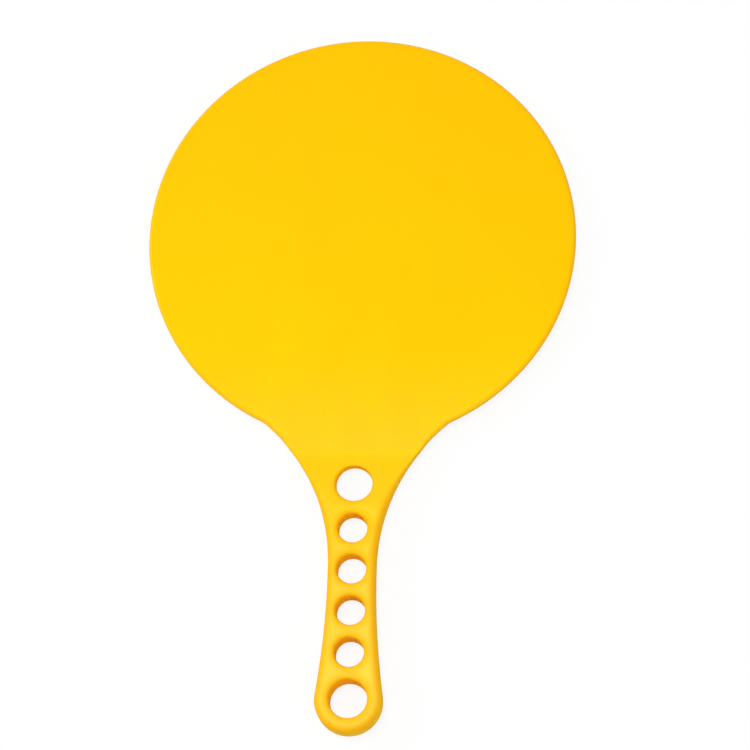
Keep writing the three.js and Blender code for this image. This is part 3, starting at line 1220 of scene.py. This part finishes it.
@dataclass
class GripScale:
    """One half of the grip, with pegs on the front one and sockets in the back one."""

    outline: Outline
    face: Face
    finish: PlasticFinish
    slot: Slot = Slot.GRIP
    ring_reach: float = 0.0024
    ring_steps: int = 9
    ring_power: float = 1.8
    rim_steps: int = 8
    lip_steps: int = 5
    hole_steps: int = 96
    peg_steps: int = 24
    spacing: float = 0.0011
    width_share: float = 1.25
    rise_share: float = 0.85

    @property
    def node(self) -> str:
        """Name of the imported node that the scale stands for."""
        return "grip_scale_" + self.face.name.lower()

    def seats(self) -> list[Circle]:
        """The front scale's pegs, or the back scale's wider sockets."""
        clearance = self.outline.sizes.peg_clearance if self.face is Face.BACK else 0.0
        return self.outline.plan.pegs(self.outline.sizes.peg_radius + clearance)

    def peg_reach(self) -> float:
        """How far the seats are pushed from the inner face.

        Returns:
            The depth into the scale, negative for the pegs, which stand out of it.
        """
        sizes = self.outline.sizes
        if self.face is Face.BACK:
            return sizes.socket_depth
        return -(sizes.plate_thickness + sizes.socket_depth - sizes.peg_clearance)

    def lip_lines(self, sheet: Sheet, border: list[int], levels: list[float]) -> list[list[int]]:
        """Adds straight lines across the scale for its top edge and the lip's round.

        Args:
            sheet: The sheet that is being drawn.
            border: Indices of its innermost border, from the top left to the top right.
            levels: Heights of the lines, from the top down.

        Returns:
            The lines' indices, from left to right.
        """
        lines = []
        for row, level in enumerate(levels):
            left, right = border[row], border[-1 - row]
            half = sheet.points[right][0]
            across = spread(-half, 2 * half, self.outline.steps(2 * half))[1:-1]
            lines.append([left, *sheet.add([(x, level) for x in across]), right])
        return lines

    def sheet(self) -> bpy.types.Mesh:
        """Draws the scale's plan below its straight top edge.

        Returns:
            The flat mesh, with its peg seats marked.
        """
        outline, plan, sizes = self.outline, self.outline.plan, self.outline.sizes
        sheet = Sheet(outline)
        lip = round_insets(sizes.lip_round, self.lip_steps)[1:]
        levels = outline.neck_levels(plan.scale_top, tuple(lip))
        shares = [share**self.ring_power for share in spread(0.0, 1.0, self.ring_steps)]
        insets = sorted({*(self.ring_reach * share for share in shares), sizes.seam})
        border = sheet.rings([outline.lower_path(inset, levels) for inset in insets], closed=False)
        lines = self.lip_lines(sheet, border, [plan.scale_top, *(plan.scale_top - drop for drop in lip)])
        loops = [border + lines[0][-2:0:-1]]
        insets = sorted({*round_insets(sizes.rim_round, self.rim_steps), sizes.seam})
        for hole in plan.holes:
            loops.append(sheet.rings([hole.ring(inset, self.hole_steps) for inset in insets]))
        seats = self.seats()
        loops += [sheet.add(seat.ring(0.0, self.peg_steps)) for seat in seats]
        voids = [hole.grown(sizes.rim_round) for hole in plan.holes]
        loose = outline.loose_points(
            sizes.neck_width / 2, plan.scale_top, self.spacing, self.ring_reach, voids, seats
        )
        limit = plan.scale_top - lip[-1] - self.spacing / 2
        sheet.fill(loops, lines[1:], voids, [point for point in loose if point[1] <= limit])
        return sheet.mesh(self.node + "_sheet", seats)

    def build(self, tree: Tree, groups: dict[str, Tree]) -> bpy.types.Object:
        """Raises, dresses and seats the scale.

        Args:
            tree: The scales' moulding tree.
            groups: The shared shader groups.

        Returns:
            The finished scale.
        """
        plan, sizes = self.outline.plan, self.outline.sizes
        values = {
            "Side": self.face.value,
            "Middle": plan.middle_z,
            "Plate Half": sizes.plate_thickness / 2,
            "Peg Reach": self.peg_reach(),
            "Scale Top": plan.scale_top,
            "Shoulder": plan.shoulder,
            "Hang": plan.hang_y,
            "Lip Half": sizes.plate_thickness / 2 + sizes.scale_lip,
            "Shoulder Half": sizes.shoulder_thickness / 2,
            "End Half": sizes.end_thickness / 2,
            "Blend": sizes.shoulder_blend,
            "Ease": sizes.ramp_ease,
            "Edge Round": sizes.grip_round,
            "Rim Round": sizes.rim_round,
            "Lip Round": sizes.lip_round,
            "Seam": sizes.seam,
            "Width Share": self.width_share,
            "Rise Share": self.rise_share,
            "Material": self.finish.material(groups),
        }
        piece = raise_piece("grip_" + self.face.name.lower(), self.sheet(), tree, values)
        settle(piece, self.node)
        return piece


@dataclass(frozen=True)
class SoftLamp:
    """A large soft studio lamp that looks at the racket."""

    name: str
    place: tuple[float, float, float]
    size: float
    power: float

    def build(self, target: Vector) -> None:
        """Hangs the lamp and turns it to its target.

        Args:
            target: The point that it looks at.
        """
        light = bpy.data.lights.new(self.name, "AREA")
        light.shape = "DISK"
        light.size = self.size
        light.energy = self.power
        lamp = bpy.data.objects.new(self.name, light)
        bpy.context.scene.collection.objects.link(lamp)
        lamp.location = self.place
        lamp.rotation_euler = (target - Vector(self.place)).to_track_quat("-Z", "Y").to_euler()


@dataclass(frozen=True)
class PhotoCamera:
    """The photograph's camera, found from the round blade and the six holes."""

    focal_pixels: float = 2650.0
    frame_pixels: float = 750.0
    sensor: float = 36.0
    azimuth: float = -14.814
    elevation: float = 71.592
    roll: float = 14.107
    distance: float = 1.36321
    aim_across: float = 0.00896
    aim_below: float = 0.07568

    def build(self, plan: Plan) -> None:
        """Places the camera and makes it the scene's own.

        Args:
            plan: The racket's plan, whose mid-plane the camera aims at.
        """
        data = bpy.data.cameras.new("photo_camera")
        data.sensor_width = self.sensor
        data.lens = self.sensor * self.focal_pixels / self.frame_pixels
        camera = bpy.data.objects.new("photo_camera", data)
        bpy.context.scene.collection.objects.link(camera)
        azimuth, elevation = math.radians(self.azimuth), math.radians(self.elevation)
        level = math.cos(elevation)
        look = Vector((math.sin(azimuth) * level, math.cos(azimuth) * level, -math.sin(elevation)))
        aim = Vector((self.aim_across, plan.centre_y - self.aim_below, plan.middle_z))
        camera.location = aim - look * self.distance
        level_turn = look.to_track_quat("-Z", "Y").to_matrix()
        turn = level_turn @ Matrix.Rotation(math.radians(-self.roll), 3, "Z")
        camera.rotation_euler = turn.to_euler()
        bpy.context.scene.camera = camera


@dataclass
class Studio:
    """Plain white floor, soft light and the photograph's camera."""

    plan: Plan
    camera: PhotoCamera = field(default_factory=PhotoCamera)
    lamps: tuple[SoftLamp, ...] = (
        SoftLamp("key_lamp", place=(-0.14, 0.0, 1.3), size=0.3, power=8.2),
        SoftLamp("side_lamp", place=(-3.0, 1.0, 2.0), size=1.5, power=46.0),
        SoftLamp("fill_lamp", place=(1.3, -1.5, 1.2), size=1.0, power=8.5),
    )
    floor_half: float = 6.0
    floor_white: float = 0.9
    floor_lift: float = 0.9
    sky_strength: float = 0.43

    def seen_ray(self, sketch: NodeSketch) -> Socket:
        """Adds a mask of the rays that see the background directly or in a reflection.

        Args:
            sketch: The tree to add it to.

        Returns:
            The mask's socket.
        """
        path = sketch.node("ShaderNodeLightPath", {}).outputs
        seen = sketch.math("MAXIMUM", path["Is Camera Ray"], path["Is Glossy Ray"])
        return sketch.math("MAXIMUM", seen, path["Is Transmission Ray"])

    def build_floor(self) -> None:
        """Lays the white floor that keeps the racket's soft shadow."""
        half = self.floor_half
        mesh = bpy.data.meshes.new("floor")
        corners = [(-half, -half, 0.0), (half, -half, 0.0), (half, half, 0.0), (-half, half, 0.0)]
        mesh.from_pydata(corners, [], [(0, 1, 2, 3)])
        floor = bpy.data.objects.new("floor", mesh)
        bpy.context.scene.collection.objects.link(floor)
        white = bpy.data.materials.new("floor_white")
        white.use_nodes = True
        sketch = NodeSketch(white.node_tree)
        white.node_tree.nodes.remove(white.node_tree.nodes["Principled BSDF"])
        shade = (self.floor_white, self.floor_white, self.floor_white, 1.0)
        matte = sketch.first("ShaderNodeBsdfDiffuse", {"Color": shade})
        glow = sketch.first("ShaderNodeEmission", {"Color": WHITE, "Strength": 1.0})
        share = sketch.math("MULTIPLY", self.seen_ray(sketch), self.floor_lift)
        mixed = sketch.first("ShaderNodeMixShader", {0: share, 1: matte, 2: glow})
        sketch.feed(white.node_tree.nodes["Material Output"].inputs["Surface"], mixed)
        mesh.materials.append(white)

    def build_sky(self) -> None:
        """Sets the even light from all round, which is seen as plain white."""
        world = bpy.data.worlds.new("studio_sky")
        world.use_nodes = True
        bpy.context.scene.world = world
        sketch = NodeSketch(world.node_tree)
        seen = self.seen_ray(sketch)
        strength = sketch.math("MULTIPLY_ADD", seen, 1.0 - self.sky_strength, self.sky_strength)
        sky = world.node_tree.nodes["Background"]
        sky.inputs["Color"].default_value = WHITE
        sketch.feed(sky.inputs["Strength"], strength)

    def build(self) -> None:
        """Sets up the whole studio."""
        bpy.context.scene.view_settings.view_transform = "Standard"
        self.camera.build(self.plan)
        self.build_floor()
        self.build_sky()
        for lamp in self.lamps:
            lamp.build(Vector((0.0, 0.0, self.plan.middle_z)))


BLADE_FINISH = PlasticFinish(
    name="blade_yellow",
    colour=(0.99, 0.463, 0.0003),
    deep=(0.98, 0.453, 0.0002),
    # Painted shade on the blade's rounded edges and side walls.
    edge=(0.84, 0.46, 0.014),
    edge_share=1.0,
    edge_reach=0.0012,
    dull_reach=0.0005,
    dull_share=0.5,
    # Painted sheen, paler towards the hand.
    painted_sheen=(1.0, 0.476, 0.044),
    painted_sheen_start=0.02,
    sheen_tint=(1.0, 0.82, 0.01),
    cloud_scale=22.0,
    scuff_amount=0.32,
)
GRIP_FINISH = PlasticFinish(
    name="grip_yellow",
    # The grip's base colours are lighter than the blade's, as painted light that makes up for the shade on
    # its sloped faces.
    colour=(0.99, 0.503, 0.0003),
    deep=(0.98, 0.493, 0.0002),
    # Painted shade: the orange band on the grip's rounded edges.
    edge=(0.88, 0.43, 0.003),
    edge_share=0.85,
    edge_reach=0.0035,
    dull_reach=0.005,
    dull_share=0.9,
    # Painted sheen, paler towards the hand.
    painted_sheen=(1.0, 0.524, 0.042),
    painted_sheen_start=-0.045,
    painted_sheen_loss=0.8,
    sheen_tint=(1.0, 0.82, 0.07),
    specular=0.8,
    grain_depth=0.00006,
    cloud_scale=40.0,
    scuff_amount=0.30,
)


def main() -> None:
    """Builds the racket's pieces in order, then the studio."""
    logging.basicConfig(level=logging.INFO, format="%(name)s: %(message)s")
    plan = Plan(RacketSizes(), *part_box("blade_plate"))
    outline = Outline(plan)
    shared = (
        satin_grain_group(),
        flow_clouds_group(),
        rubbed_edges_group(),
        play_scuffs_group(),
        edge_shade_and_dull_group(),
        toward_hand_ramp_group(),
    )
    groups = {tree.name: tree for tree in shared}
    round_over = round_over_group()
    BladePlate(outline, BLADE_FINISH).build(blade_tree(round_over), groups)
    scales = scale_tree(round_over, grip_profile_group())
    for face in Face:
        GripScale(outline, face, GRIP_FINISH).build(scales, groups)
    Studio(plan).build()


if __name__ == "__main__":
    main()
